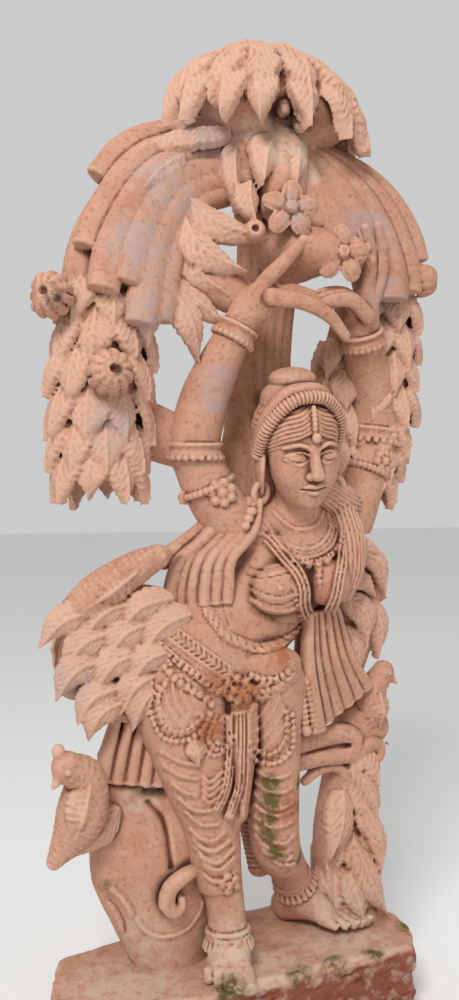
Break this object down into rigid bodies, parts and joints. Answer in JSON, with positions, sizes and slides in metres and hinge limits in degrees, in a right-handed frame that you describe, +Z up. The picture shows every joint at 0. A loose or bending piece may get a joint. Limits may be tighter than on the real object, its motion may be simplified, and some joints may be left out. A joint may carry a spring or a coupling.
{
  "type": "garden statue",
  "caption": "Carved sandstone garden statue of a dancer with raised arms under a flowering tree, standing on its own rough plinth.",
  "frame": {"origin": "middle of the plinth's flat underside, below the tree's trunk", "axes": "+Z up, -Y towards the front, +X to the viewer's right"},
  "size_m": [0.6756, 0.2614, 1.5136],
  "materials": {
    "stone": "matte"
  },
  "bodies": {
    "root": {"devadasi_statue": "stone"}
  },
  "joints": []
}
